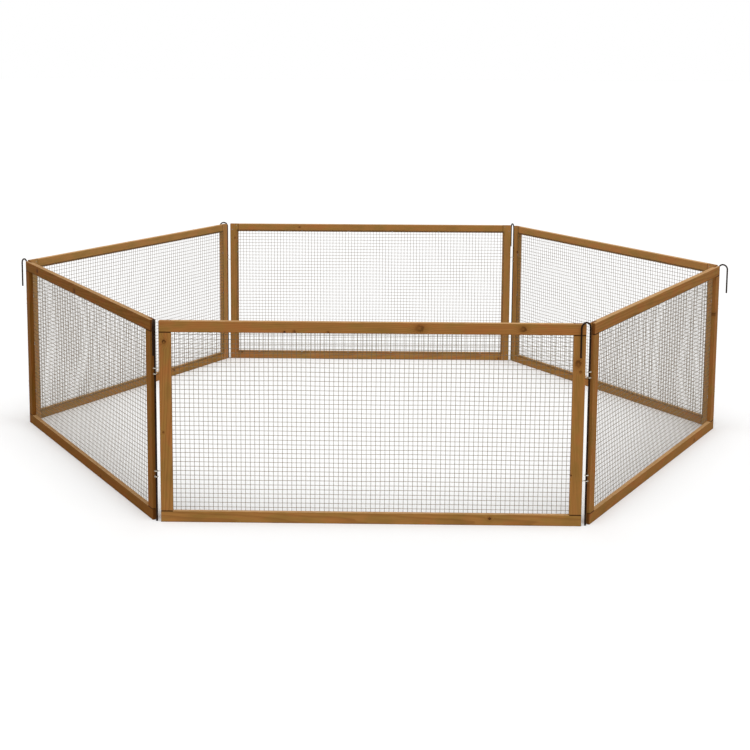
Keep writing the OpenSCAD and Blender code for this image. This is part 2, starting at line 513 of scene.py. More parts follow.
@dataclass(frozen=True)
class StainedPine:
    """Softwood under a see-through honey brown stain.

    The rings are circles round the pith of the log, wavered by noise and pushed aside by the
    knots. The stain lies in broad honey, reddish and olive patches, darker in the late wood, in
    the joints and on the end grain, and thinner on the rubbed arrises. The joints also get a
    painted shadow of their gaps, the rails' lower edges painted shade, and their upper faces a
    pale painted sheen.

    A band holds the values where a mark starts and where it is full: metres from an edge, from
    the foot or top of a rail, from a joint or from the timber's middle plane, a knot's radii, a
    share of a ring, or a noise. A share pair holds the colour's shares between two streaks or
    patches and in one. A contrast is what a noise from 0 to 1 adds to the colour's depth.
    """

    name: str = "stained_pine"
    honey: Colour = (0.374, 0.173, 0.046)
    reddish: Colour = (0.356, 0.139, 0.038)
    olive: Colour = (0.316, 0.166, 0.040)
    late_wood: Colour = (0.190, 0.072, 0.017)
    rubbed: Colour = (0.480, 0.270, 0.110)
    # Painted sheen: pale colour on the rails' upper faces, standing for light from above
    painted_top_sheen: Colour = (0.470, 0.290, 0.138)
    end_grain: Colour = (0.130, 0.040, 0.008)
    resinous: Colour = (0.235, 0.083, 0.018)
    knot_heart: Colour = (0.135, 0.047, 0.010)
    knot_rim: Colour = (0.032, 0.010, 0.003)
    # Dark stain gathered in the joints, also used as painted shadow in the joint gaps and as painted shade
    # along the rails' lower edges
    pooled_stain_and_shade: Colour = (0.042, 0.015, 0.004)
    ring_step: float = 3.4 * MM
    ring_waver: float = 5.0 * MM
    knot_push: float = 5.44 * MM
    waver: GrainNoise = GrainNoise(5.0, 22.0, 3.0)
    fibre: GrainNoise = GrainNoise(30.0, 1300.0, 3.0, 0.7)
    streak: GrainNoise = GrainNoise(6.0, 160.0)
    broad: GrainNoise = GrainNoise(9.0, 30.0, shifted=0)
    olive_patch: GrainNoise = GrainNoise(18.0, 48.0, shifted=1)
    # Patches of the rubbed wear, the painted top sheen and the painted lower-edge shade
    wear_sheen_and_shade_patch: GrainNoise = GrainNoise(60.0, 90.0)
    late_wood_band: Band = (0.4, 0.92)
    ring_edge_band: Band = (1.0, 0.95)
    red_band: Band = (0.1, 0.9)
    olive_band: Band = (0.42, 0.66)
    wear_sheen_and_shade_band: Band = (0.35, 0.7)
    # Painted shade along a rail's lower edge, then a painted sheen on its upper face, in metres from its
    # foot and from its top
    lower_edge_shade_band: Band = (2.6 * MM, 0.3 * MM)
    painted_top_sheen_band: Band = (1.0 * MM, 0.2 * MM)
    rubbed_band: Band = (1.6 * MM, 0.2 * MM)
    # Joint lines: gathered stain plus a painted shadow of the joint gaps
    outer_joint_band: Band = (2.2 * MM, 0.9 * MM)
    inner_joint_band: Band = (1.4 * MM, 0.4 * MM)
    edge_joint_band: Band = (0.9 * MM, 0.3 * MM)
    past_window_band: Band = (-0.5 * MM, 0.2 * MM)
    off_middle_band: Band = (0.2 * MM, 0.6 * MM)
    knot_band: Band = (1.2, 0.8)
    knot_reach_band: Band = (3.4, 0.6)
    knot_rim_band: Band = (0.1, 0.6)
    knot_open_band: Band = (-0.9, 0.5)
    late_wood_shares: Band = (0.22, 0.48)
    resinous_shares: Band = (0.25, 0.85)
    # Shares of the painted top sheen, of the joint stain and painted shadow, and of the painted lower-edge
    # shade
    painted_top_sheen_shares: Band = (0.55, 0.85)
    joint_stain_and_shadow_shares: Band = (0.74, 1.14)
    lower_edge_shade_shares: Band = (0.25, 0.55)
    knot_rim_shares: Band = (0.25, 1.0)
    rubbed_share: float = 0.5
    olive_share: float = 0.8
    end_grain_share: float = 0.75
    red_contrast: float = 2.6
    fibre_contrast: float = 0.42
    streak_contrast: float = 0.3
    broad_contrast: float = 0.45
    knot_shortening: float = 0.8
    knot_wobble: float = 1.3
    knot_wobbles: float = 380.0
    roughness: float = 0.66
    fibre_roughness: float = 0.22
    late_wood_roughness: float = 0.06
    end_grain_roughness: float = 0.2
    knot_smoothness: float = 0.1
    grain_height: float = 0.05 * MM
    knot_rim_depth: float = 0.12 * MM
    refraction: float = 1.46
    shine: float = 0.03

    def material(self, panel: "PanelSizes") -> bpy.types.Material:
        """The finish as a material for the timber of a panel of the given sizes."""
        s = Shader(self.name)
        log_place = s.parts("log")
        lay_along, across, beyond = s.parts("lay")
        x, y, z = s.parts("spot")
        # The stain's parts: redness, the board's number, and the painted top sheen's brightness
        redness, number, pale = s.parts("stain")

        near_knot, knot_heart, knot_rim = self.knots(s, lay_along, across, number)
        _, a, b = log_place
        waver = self.waver.lumps(s, log_place, number) - 0.5
        radius = (a * a + b * b).root() + waver * self.ring_waver + near_knot * self.knot_push
        ring = (radius / self.ring_step).fraction()
        late = ring.fade(*self.late_wood_band) * ring.fade(*self.ring_edge_band)
        fibre = self.fibre.lumps(s, log_place, number)
        streak = self.streak.lumps(s, log_place, number)

        # The stained wood
        broad = self.broad.lumps(s, log_place, number)
        red = ((broad - 0.5) * self.red_contrast + redness).fade(*self.red_band)
        olive = self.olive_patch.lumps(s, log_place, number).fade(*self.olive_band) * self.olive_share
        colour = s.mix(olive, s.mix(red, self.honey, self.reddish), self.olive)
        colour = s.mix(late * streak.spread(*self.late_wood_shares), colour, self.late_wood)
        resin = near_knot * near_knot * streak.spread(*self.resinous_shares)
        colour = s.mix(resin, colour, self.resinous)

        # What wear, knots, joints and the boards' ends do to it, with painted shade at the rails' lower
        # edges and a painted sheen on their upper faces
        edge = across.least(beyond).most(panel.timber_t / 2 - abs(y))
        patchy = self.wear_sheen_and_shade_patch.lumps(s, log_place, number).fade(*self.wear_sheen_and_shade_band)
        above_foot, below_top, end = s.parts("faces")
        # Painted shade darkens each rail's lower edge, and the rubbed paleness stops there
        lower_edge_shade = above_foot.fade(*self.lower_edge_shade_band)
        rubbed = edge.fade(*self.rubbed_band) * patchy * lower_edge_shade.spread(self.rubbed_share, 0.0)
        # Each board's tone: partly its stain, partly painted light and shade for its panel's side
        colour = s.filtered(s.mix(rubbed, colour, self.rubbed), "coat")
        # Painted sheen: the rails' upper faces made paler, as if lit from above
        painted_top_sheen = below_top.fade(*self.painted_top_sheen_band) * patchy.spread(*self.painted_top_sheen_shares)
        colour = s.mix(painted_top_sheen, colour, s.dimmed(self.painted_top_sheen, pale))
        colour = s.mix(knot_heart, colour, self.knot_heart)
        colour = s.mix(knot_rim, colour, self.knot_rim)
        # Joint lines darkened by gathered stain and a painted shadow of the gaps, together with the painted
        # lower-edge shade
        joint_stain_and_shadow = self.joint_stain_and_shadow_lines(x, y, z, panel) * streak.spread(*self.joint_stain_and_shadow_shares)
        stain_and_painted_shade = joint_stain_and_shadow.most(lower_edge_shade * patchy.spread(*self.lower_edge_shade_shares))
        colour = s.mix(stain_and_painted_shade, colour, self.pooled_stain_and_shade)
        colour = s.mix(end * self.end_grain_share, colour, self.end_grain)

        depth = ((fibre - 0.5) * self.fibre_contrast + (streak - 0.5) * self.streak_contrast
                 + (broad - 0.5) * self.broad_contrast)
        roughness = (self.roughness + (fibre - 0.5) * self.fibre_roughness
                     + late * self.late_wood_roughness + end * self.end_grain_roughness
                     - knot_heart * self.knot_smoothness)
        s.relief(fibre * self.grain_height + late * self.grain_height - knot_rim * self.knot_rim_depth)
        return s.finished(
            s.dimmed(colour, depth + 1.0), roughness, IOR=self.refraction, Specular_IOR_Level=self.shine)

    def knots(self, s: Shader, along: Term, across: Term, number: Term) -> tuple[Term, Term, Term]:
        """How near a point is to the board's knots.

        A knot is an oval with a wavering outline: a heart inside it, and a dark rim along it
        that is fainter on one side.

        Returns:
            Nearness to a knot as the grain feels it, the share of its heart and of its rim.
        """
        wobble = s.noise(along * self.knot_wobbles, across * self.knot_wobbles, number, 3.0) - 0.5
        near, heart, rim = s.none(), s.none(), s.none()
        for i in range(KNOTS_PER_BOARD):
            place_along, place_across, size = s.parts(f"knot_{i}")
            darkness, heart_share, _ = s.parts(f"knot_{i}_look")
            off_along, off_across = (along - place_along) * self.knot_shortening, across - place_across
            off = (off_along * off_along + off_across * off_across).root()
            distance = off / size + wobble * self.knot_wobble
            inside = distance.fade(*self.knot_band) * darkness
            closed = (off_along / size).fade(*self.knot_open_band)
            rim_share = closed.spread(*self.knot_rim_shares)
            near = near.most(distance.fade(*self.knot_reach_band))
            heart = heart.most(inside * heart_share)
            rim = rim.most(inside * distance.fade(*self.knot_rim_band) * rim_share)
        return near, heart, rim

    def joint_stain_and_shadow_lines(self, x: Term, y: Term, z: Term, panel: "PanelSizes") -> Term:
        """Where stain has gathered along the corners' half-laps, with a painted shadow of their gaps.

        The lines run along the rails on the outer face, along the stiles on the inner face, and
        along the timber's middle plane on the frame's outer edges.
        """
        near, far = self.off_middle_band
        outside, inside = y.fade(-near, -far), y.fade(near, far)
        in_stile, in_rail = abs(x) - panel.window_w / 2, abs(z) - panel.window_h / 2
        beside, above, both = (
            past.fade(*self.past_window_band) for past in (in_stile, in_rail, in_stile.least(in_rail)))
        outer_line = abs(in_rail).fade(*self.outer_joint_band) * beside * outside
        inner_line = abs(in_stile).fade(*self.inner_joint_band) * above * inside
        return outer_line.most(inner_line).most(abs(y).fade(*self.edge_joint_band) * both)


@dataclass(frozen=True)
class CoatedMetal:
    """Steel wire, rod or fixing with a mottled coat that has worn and dulled in places.

    The mottle's lumps have the mottle's size. A finer and a broader noise, whose lumps are so many
    times smaller and larger, vary the coat's depth, and the broader one and the mottle choose
    where it is worn. A coat with more wear starts to be worn at a lower value of the two.
    """

    name: str
    coat: Colour
    mottle: Colour
    worn: Colour
    metallic: float
    roughness: float
    mottle_size: float
    worn_share: float = 0.3
    relief_height: float = 0.0
    shine: float = 0.5
    finer: float = 6.0
    broader: float = 9.0
    mottle_band: Band = (0.35, 0.68)
    worn_from: float = 0.62
    worn_earlier: float = 0.2
    worn_full: float = 0.72
    depth_least: float = 0.82
    depth_contrast: float = 0.18
    fine_roughness: float = 0.16
    worn_roughness: float = 0.12
    fine_relief_share: float = 0.3

    def material(self) -> bpy.types.Material:
        """The finish as a material, with its mottle and its wear in the object's own place."""
        s = Shader(self.name)
        place = s.place()
        scale = 1.0 / self.mottle_size
        lumps = s.noise(*(part * scale for part in place), detail=3.0, roughness=0.6)
        fine = s.noise(*(part * (scale * self.finer) for part in place))
        broad = s.noise(*(part * (scale / self.broader) for part in place))
        colour = s.mix(lumps.fade(*self.mottle_band), self.coat, self.mottle)
        worn_from = self.worn_from - self.worn_earlier * self.worn_share
        wear = (lumps * 0.5 + broad * 0.5).fade(worn_from, self.worn_full)
        colour = s.mix(wear * self.worn_share, colour, self.worn)
        depth = self.depth_least + fine * self.depth_contrast + broad * self.depth_contrast
        roughness = self.roughness + (fine - 0.5) * self.fine_roughness + wear * self.worn_roughness
        if self.relief_height:
            s.relief((lumps + fine * self.fine_relief_share) * self.relief_height)
        return s.finished(
            s.dimmed(colour, depth), roughness, Metallic=self.metallic, Specular_IOR_Level=self.shine)


GALVANISED_MESH = CoatedMetal(
    "galvanised_mesh", (0.208, 0.153, 0.086), (0.155, 0.112, 0.062), (0.29, 0.23, 0.15), 0.6, 0.42, 4 * MM,
    shine=0.2)
STAPLE_STEEL = CoatedMetal(
    "galvanised_staples", (0.46, 0.46, 0.45), (0.36, 0.36, 0.355), (0.24, 0.2, 0.16), 0.9, 0.34, 3 * MM)
BRAD_STEEL = CoatedMetal(
    "brad_steel", (0.34, 0.335, 0.33), (0.24, 0.235, 0.23), (0.16, 0.07, 0.03), 0.85, 0.45, 1.5 * MM, 0.6)
ZINC_PLATE = CoatedMetal(
    "zinc_plated_eyes", (0.58, 0.54, 0.45), (0.45, 0.41, 0.34), (0.28, 0.22, 0.15), 0.9, 0.34, 4 * MM, 0.45)
STAKE_STEEL = CoatedMetal(
    "stake_steel", (0.0165, 0.0072, 0.0034), (0.026, 0.0125, 0.0065), (0.055, 0.034, 0.021), 0.0, 0.55,
    14 * MM, 0.4, 0.02 * MM, 0.05)


# ---------------------------------------------------------------------------------------------
# A panel's timber
# ---------------------------------------------------------------------------------------------


@dataclass(frozen=True)
class PanelSizes:
    """Sizes of one framed panel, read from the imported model's front panel."""

    width: float
    height: float
    timber_t: float
    stile_w: float
    rail_h: float
    mesh_w: float
    mesh_h: float
    rebate_floor: float
    apothem: float
    corner_x: float
    rebate_gap: float = 1.0 * MM

    @classmethod
    def from_frame(cls) -> "PanelSizes":
        """Reads the sizes from the boxes of the front panel's nodes and from its fold's axis."""
        rail_low, rail_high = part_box("front_panel_top_rail")
        stile_low, stile_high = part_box("front_panel_right_stile")
        mesh_low, mesh_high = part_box("front_panel_mesh")
        fold = next(j for j in frame["joints"] if j["name"] == "front_right_fold")
        apothem = -(rail_low.y + rail_high.y) / 2
        return cls(
            width=rail_high.x - rail_low.x,
            height=rail_high.z,
            timber_t=rail_high.y - rail_low.y,
            stile_w=stile_high.x - stile_low.x,
            rail_h=rail_high.z - rail_low.z,
            mesh_w=mesh_high.x - mesh_low.x,
            mesh_h=mesh_high.z - mesh_low.z,
            rebate_floor=mesh_low.y + apothem,
            apothem=apothem,
            corner_x=fold["pos_m"][0],
        )

    @property
    def window_w(self) -> float:
        """Width of the opening between the stiles."""
        return self.width - 2 * self.stile_w

    @property
    def window_h(self) -> float:
        """Height of the opening between the rails."""
        return self.height - 2 * self.rail_h

    @property
    def rebate_w(self) -> float:
        """Width of the rebate round the opening, where the mesh is let in."""
        return (self.mesh_w - self.window_w) / 2 + self.rebate_gap


class Member(Enum):
    """The four timber members of a panel."""

    TOP_RAIL = "top_rail"
    BOTTOM_RAIL = "bottom_rail"
    LEFT_STILE = "left_stile"
    RIGHT_STILE = "right_stile"

    @property
    def is_rail(self) -> bool:
        """Whether the member lies along the panel's top or bottom."""
        return self in (Member.TOP_RAIL, Member.BOTTOM_RAIL)


@dataclass(frozen=True)
class Knot:
    """A knot: its place along the board from its middle and across it from the frame's outer
    edge, its radius, its darkness from 0 to 1, and the share of it that its heart has."""

    along: float
    across: float
    radius: float
    darkness: float = 0.7
    heart: float = 0.65


# Knots that show from a step away, on the boards that have them
KNOTS: dict[str, tuple[Knot, ...]] = {
    "front_panel_top_rail": (
        Knot(-0.236, 0.0285, 3.0 * MM, 0.95),
        Knot(-0.209, 0.0270, 3.4 * MM, 0.5),
        Knot(-0.118, 0.0280, 2.8 * MM, 0.5),
        Knot(0.128, 0.0155, 9.5 * MM, 0.40, 0.6),
        Knot(0.406, 0.0150, 7.5 * MM, 0.52, 0.6),
    ),
    "front_panel_bottom_rail": (Knot(0.325, 0.019, 3.3 * MM, 1.0),),
    "front_panel_left_stile": (
        Knot(0.223, 0.014, 5.0 * MM, 0.85, 0.15),
        Knot(-0.028, 0.0095, 2.4 * MM, 0.6),
    ),
    "front_panel_right_stile": (
        Knot(0.172, 0.0195, 8.0 * MM, 0.5, 0.5),
        Knot(0.150, 0.013, 3.2 * MM, 0.5),
        Knot(-0.138, 0.0315, 1.9 * MM, 0.9),
    ),
    "front_left_panel_top_rail": (Knot(-0.064, 0.022, 6.5 * MM, 0.9), Knot(-0.446, 0.015, 6.0 * MM, 0.9)),
    "back_right_panel_right_stile": (Knot(0.176, 0.024, 3.4 * MM, 0.6),),
    "back_panel_right_stile": (Knot(0.223, 0.020, 3.0 * MM, 0.5),),
    "back_panel_bottom_rail": (Knot(-0.534, 0.006, 3.2 * MM), Knot(0.529, 0.026, 3.2 * MM)),
    "front_right_panel_right_stile": (Knot(0.121, 0.028, 6.5 * MM, 0.5), Knot(-0.168, 0.007, 3.2 * MM)),
    "front_right_panel_bottom_rail": (Knot(0.360, 0.012, 4.0 * MM, 0.6),),
    "back_left_panel_bottom_rail": (Knot(-0.210, 0.021, 3.8 * MM, 0.6),),
    "front_left_panel_bottom_rail": (Knot(0.150, 0.008, 3.4 * MM, 0.6),),
    "back_panel_top_rail": (Knot(0.290, 0.012, 3.4 * MM, 0.5),),
}
KNOTS_PER_BOARD = 5
NO_KNOT = Knot(9.0, 9.0, 1.0 * MM)

# Tone of each panel, and of single boards that differ from their panel: partly how light the stain came
# out, partly painted light and shade for how light falls on each side
STAIN_TONE_AND_PAINTED_LIGHT: dict[str, float] = {
    "front_panel": 1.0,
    "front_right_panel": 0.93,
    "back_right_panel": 1.18,
    "back_right_panel_left_stile": 1.42,
    "back_panel": 1.14,
    "back_left_panel": 1.22,
    "back_left_panel_left_stile": 1.42,
    "back_left_panel_right_stile": 1.42,
    "front_left_panel": 0.57,
    "front_left_panel_right_stile": 0.68,
}


class Zone(Enum):
    """Sections of a member along its length."""

    FULL = "full thickness, rebated"
    OUTER_LAP = "outer half alone"
    INNER_LAP = "inner half alone"
    REBATED_LAP = "inner half alone, rebated"


@dataclass
class Board:
    """One rail or stile, as rings of a six-cornered section along its length.

    The corners run round the section from the outer edge and outer face: outer edge, window
    edge, window edge at the rebate's floor, the floor's far side, the rebate's wall at the inner
    face, outer edge. Where there is no rebate its two corners lie on the inner face, a little to
    each side of the wall's place. Each corner is eased by a parabola that leaves both its sides
    at the easing's size from it, and the easings waver along the board as if rubbed by hand.

    The board was sawn from a log at a drawn distance and angle from its pith, turned and slightly
    tilted. Its tone, partly the stain's and partly painted light and shade for its panel's side,
    scales red, green and blue by powers of itself, as the coat's thickness would, and its number
    shifts the noises of its grain.
    """

    name: str
    member: Member
    panel: PanelSizes
    tone_and_painted_light: float
    seed: int
    arris: float = 0.9 * MM
    window_arris: float = 0.6 * MM
    rebate_arris: float = 0.4 * MM
    tight: float = 0.14 * MM
    end_ease_share: float = 0.5
    rub_share: float = 0.35
    rub_length: float = 0.16
    rub_apart: float = 3.0
    spare_corner: float = 0.5 * MM
    joint_gap: float = 0.5 * MM
    end_bevel: float = 0.7 * MM
    step: float = 0.3 * MM
    spacing: float = 28.0 * MM
    points_per_corner: int = 4
    pith_away: Band = (26.0 * MM, 80.0 * MM)
    log_tilt: float = 0.012
    light_range: Band = (0.96, 1.04)
    redness_range: Band = (0.15, 0.6)
    number_range: Band = (0.0, 40.0)
    coat_powers: tuple[float, float, float] = (1.0, 1.32, 2.1)
    # Power of the board's tone that sets the painted top sheen's brightness
    painted_top_sheen_power: float = 0.3

    @property
    def broad(self) -> float:
        """Width of the member across the frame."""
        return self.panel.rail_h if self.member.is_rail else self.panel.stile_w

    def section(self, zone: Zone) -> tuple[Array, Array]:
        """Corners of a zone's section, as distance from the outer edge and Y, and their easings."""
        p, broad = self.panel, self.broad
        wall, floor, half = broad - p.rebate_w, p.rebate_floor, p.timber_t / 2
        low, high = -half, half
        low_ease, high_ease = self.arris, self.arris
        if zone is Zone.OUTER_LAP:
            high, high_ease = 0.0, self.tight
        if zone in (Zone.INNER_LAP, Zone.REBATED_LAP):
            low, low_ease = 0.0, self.tight
        window_ease = self.window_arris if zone is Zone.FULL else self.tight
        if zone in (Zone.FULL, Zone.REBATED_LAP):
            inner = [(broad, floor), (wall, floor), (wall, high)]
            eases = [window_ease, self.tight, self.rebate_arris]
        else:
            inner = [(broad, high), (wall + self.spare_corner, high), (wall - self.spare_corner, high)]
            eases = [self.tight] * 3
        corners = [(0.0, low), (broad, low), *inner, (0.0, high)]
        return np.array(corners), np.array([low_ease, window_ease, *eases, high_ease])

    def zones(self) -> list[tuple[float, Zone]]:
        """The zones from the member's middle outwards, each with its far end's distance."""
        p = self.panel
        if self.member.is_rail:
            return [(p.window_w / 2, Zone.FULL), (p.width / 2, Zone.OUTER_LAP)]
        shoulder = p.window_h / 2
        return [
            (shoulder - self.joint_gap, Zone.FULL),
            (shoulder + p.rebate_w, Zone.REBATED_LAP),
            (p.height / 2, Zone.INNER_LAP),
        ]

    def stations(self) -> tuple[Array, Array, Array]:
        """Stations from the middle to one end.

        Returns:
            Distances from the middle, corners of each section, and easings of its corners.
        """
        distances, corners, eases = [], [], []
        start, zones = self.spacing / 2, self.zones()
        for far, zone in zones:
            count = max(2, 1 + math.ceil((far - start) / self.spacing))
            runs = np.linspace(start, far, count)
            section, ease = self.section(zone)
            if zone is zones[-1][1]:
                runs = np.append(runs[:-1], far - self.end_bevel)
            distances.append(runs)
            corners.append(np.broadcast_to(section, (len(runs), *section.shape)))
            eases.append(np.broadcast_to(ease, (len(runs), len(ease))))
            start = far + self.step
        low, high = section.min(axis=0) + self.end_bevel, section.max(axis=0) - self.end_bevel
        distances.append(np.array([far]))
        corners.append(np.clip(section, low, high)[None])
        eases.append(ease[None] * self.end_ease_share)
        return np.concatenate(distances), np.concatenate(corners), np.concatenate(eases)

    def rings(self) -> tuple[Array, Array]:
        """Distances along the member from its middle, and rings of (across, Y) round it."""
        half, half_corners, half_eases = self.stations()
        distance = np.concatenate([-half[::-1], half])
        corners = np.concatenate([half_corners[::-1], half_corners])
        eases = np.concatenate([half_eases[::-1], half_eases])
        corner_places = distance[:, None, None] + np.arange(corners.shape[1])[:, None] * self.rub_apart
        rub = waves(corner_places, self.seed, self.rub_length)
        eases = (eases * (1 + self.rub_share * rub))[..., None, None]
        back = np.roll(corners, 1, axis=1) - corners
        ahead = np.roll(corners, -1, axis=1) - corners
        back /= np.linalg.norm(back, axis=-1, keepdims=True)
        ahead /= np.linalg.norm(ahead, axis=-1, keepdims=True)
        t = np.linspace(0, 1, self.points_per_corner)[:, None]
        eased = eases * ((1 - t) ** 2 * back[:, :, None] + t**2 * ahead[:, :, None])
        ring = corners[:, :, None] + eased
        return distance, ring.reshape(len(distance), -1, 2)

    def in_panel(self, along: Array, across: Array, y: Array) -> Array:
        """Points of the board in the panel's coordinates."""
        p = self.panel
        if self.member.is_rail:
            z = across if self.member is Member.BOTTOM_RAIL else p.height - across
            return np.stack([along, y, z], axis=-1)
        x = p.width / 2 - across if self.member is Member.RIGHT_STILE else across - p.width / 2
        return np.stack([x, y, along + p.height / 2], axis=-1)

    def in_log(self, along: Array, across: Array, y: Array, draw: np.random.Generator) -> Array:
        """Points of the board in its log, as the length along the pith and two distances from it."""
        pith = draw.uniform(*self.pith_away)
        turn, way = draw.uniform(0, 2 * math.pi, 2)
        tilt = draw.normal(0, self.log_tilt, 2)
        middle = across - self.broad / 2
        a = middle * math.cos(turn) + y * math.sin(turn) + pith * math.cos(way) + tilt[0] * along
        b = y * math.cos(turn) - middle * math.sin(turn) + pith * math.sin(way) + tilt[1] * along
        return np.stack([along, a, b], axis=-1)

    def faces(self, z: Array) -> Array:
        """Height over a rail's foot and depth below its top, which are 1 m on a stile, and 1 on ends."""
        faces = np.ones((*z.shape, 3))
        if self.member.is_rail:
            faces[..., 0], faces[..., 1] = z - z.min(), z.max() - z
        faces[1:-1, :, 2] = 0.0
        return faces

    def surface(self) -> Surface:
        """The board's surface in the panel's coordinates, with what its finish reads."""
        p, draw = self.panel, np.random.default_rng(self.seed)
        distance, ring = self.rings()
        along = np.broadcast_to(distance[:, None], ring.shape[:2])
        across, y = ring[..., 0], ring[..., 1]
        points = self.in_panel(along, across, y)
        log_place = self.in_log(along, across, y, draw)
        light = self.tone_and_painted_light * draw.uniform(*self.light_range)
        redness, number = draw.uniform(*self.redness_range), draw.uniform(*self.number_range)
        each = {
            "log": log_place,
            "lay": np.stack([along, across, self.broad - across], axis=-1),
            "spot": points - np.array([0, 0, p.height / 2]),
            # The stain's last part sets the painted top sheen's brightness, and the coat carries the
            # board's tone, partly painted light and shade
            "stain": np.broadcast_to([redness, number, light**self.painted_top_sheen_power], points.shape),
            "coat": np.broadcast_to(light ** np.array(self.coat_powers), points.shape),
            "faces": self.faces(points[..., 2]),
        }
        knots = (KNOTS.get(self.name, ()) + (NO_KNOT,) * KNOTS_PER_BOARD)[:KNOTS_PER_BOARD]
        # The third part of a knot's look is spare
        for i, knot in enumerate(knots):
            each[f"knot_{i}"] = np.broadcast_to([knot.along, knot.across, knot.radius], points.shape)
            each[f"knot_{i}_look"] = np.broadcast_to([knot.darkness, knot.heart, 0.0], points.shape)
        runs = max(1, round(math.sqrt(np.ptp(distance) / (2 * self.broad + 2 * p.timber_t))))
        return skin(points[None], {key: numbers[None] for key, numbers in each.items()}, runs)


# ---------------------------------------------------------------------------------------------
# A panel's mesh, staples, brads and screw eyes
# ---------------------------------------------------------------------------------------------


@dataclass
class WeldedMesh:
    """Half-inch welded mesh: upright wires on the rebate's floor, and level ones pressed into them.

    A wire is a six-sided tube through its nominal line, moved by one field for the whole sheet,
    so that crossing wires stay together: a gentle drift in the sheet's plane and a bulge across
    it. Both die out towards the rebate, by one less a power of the place's share of the half
    window, in each direction. Each wire is also set a little off its even spacing.
    """

    panel: PanelSizes
    seed: int
    pitch: float = 12.7 * MM
    wire_d: float = 1.3 * MM
    layers_apart: float = 0.9 * MM
    drift: float = 0.45 * MM
    drift_length_x: float = 0.34
    drift_length_z: float = 0.30
    bulge: float = 1.3 * MM
    bulge_length: float = 0.55
    fall_power: int = 6
    uneven: float = 0.16 * MM
    sides: int = 6

    def lines(self, length: float) -> Array:
        """Even places of the wires that a side of the sheet takes, from the sheet's middle."""
        count = 1 + int(length / self.pitch)
        return (np.arange(count) - (count - 1) / 2) * self.pitch

    def moved(self, flat: Array) -> Array:
        """How far the sheet's field moves points given as (x, z) from its middle."""
        p = self.panel
        fall = 1 - np.abs(2 * flat / np.array([p.window_w, p.window_h])) ** self.fall_power
        free = np.clip(fall, 0, 1).prod(axis=-1)
        in_x = self.drift * waves(flat, self.seed, self.drift_length_x)
        in_z = self.drift * waves(flat, self.seed + 1, self.drift_length_z)
        bulge = self.bulge * waves(flat, self.seed + 2, self.bulge_length)
        return np.stack([in_x, bulge, in_z], axis=-1) * free[..., None]

    def wires(self, upright: bool) -> Surface:
        """The tubes of the upright or of the level wires."""
        p, draw = self.panel, np.random.default_rng(self.seed + 7 + upright)
        own, other = self.lines(p.mesh_w), self.lines(p.mesh_h)
        if not upright:
            own, other = other, own
        spread = draw.normal(0, self.uneven, len(own))
        lines = np.broadcast_to((own + spread)[:, None], (len(own), len(other)))
        steps = np.broadcast_to(other, lines.shape)
        flat = np.stack([lines, steps] if upright else [steps, lines], axis=-1)
        low = p.rebate_floor + self.wire_d / 2
        level = low if upright else low + self.layers_apart
        place = np.stack([flat[..., 0], np.full(lines.shape, level), flat[..., 1] + p.height / 2], axis=-1)
        line = place + self.moved(flat)
        normal = np.array([0.0, 1.0, 0.0])
        rings = round_tube(line, np.full(lines.shape, self.wire_d / 2), normal, self.sides)
        return skin(rings, {}, 1 if upright else 2)

    def surface(self) -> Surface:
        """The whole sheet."""
        return joined([self.wires(True), self.wires(False)])


@dataclass
class Staples:
    """Staples over the wires' ends, round the window.

    A staple is a wire along a U: two legs into the timber, two quarter circles, and a crown that
    lies on the mesh wire that it straddles. Its section is a rounded square, whose radius is half
    the wire over a power, the squareness, of the larger of the angle's cosine and sine.
    """

    panel: PanelSizes
    mesh: WeldedMesh
    wire: float = 0.9 * MM
    crown: float = 9.0 * MM
    depth: float = 6.0 * MM
    bend: float = 0.9 * MM
    clear_of_bend: float = 0.36 * MM
    inset: float = 2.3 * MM
    squareness: float = 0.7
    pitches_along_rail: tuple[int, ...] = (-36, -22, -7, 7, 22, 36)
    pitches_along_stile: tuple[int, ...] = (-13, 0, 13)
    sides: int = 8

    def shape(self) -> Array:
        """Rings of one staple, its crown along X through the origin and its legs towards -Y."""
        half, r = (self.crown - self.wire) / 2, self.bend
        turn = np.linspace(0, math.pi / 2, 4)
        right = np.stack([half - r + r * np.sin(turn), r * np.cos(turn) - r, 0 * turn], axis=-1)
        crown_end = half - r - self.clear_of_bend
        crown = np.linspace([-crown_end, 0, 0], [crown_end, 0, 0], 3)
        leg = np.array([[half, -r - self.depth / 2, 0], [half, -r - self.depth, 0]])
        right = np.concatenate([right, leg])
        left = right[::-1] * np.array([-1, 1, 1])
        line = np.concatenate([left, crown, right])
        angle = (np.arange(self.sides) + 0.5) / self.sides * 2 * math.pi
        flat_to = np.maximum(np.abs(np.cos(angle)), np.abs(np.sin(angle)))
        radius = np.broadcast_to(self.wire / 2 / flat_to**self.squareness, (len(line), self.sides))
        return round_tube(line, radius, np.array([0.0, 0.0, 1.0]), self.sides)

    def surface(self) -> Surface:
        """All staples of a panel."""
        p, m, shape = self.panel, self.mesh, self.shape()
        on_upright = p.rebate_floor + m.wire_d + self.wire / 2
        on_level = on_upright + m.layers_apart
        rail_z, stile_x = p.window_h / 2 + self.inset, p.window_w / 2 + self.inset
        along_rails = [
            (step * m.pitch, on_upright, p.height / 2 + sign * rail_z)
            for sign in (-1, 1) for step in self.pitches_along_rail
        ]
        along_stiles = [
            (sign * stile_x, on_level, p.height / 2 + step * m.pitch)
            for sign in (-1, 1) for step in self.pitches_along_stile
        ]
        upright = shape[..., [2, 1, 0]]
        on_rails = shape + np.array(along_rails)[:, None, None]
        on_stiles = upright + np.array(along_stiles)[:, None, None]
        return joined([skin(on_rails, {}), skin(on_stiles, {})])


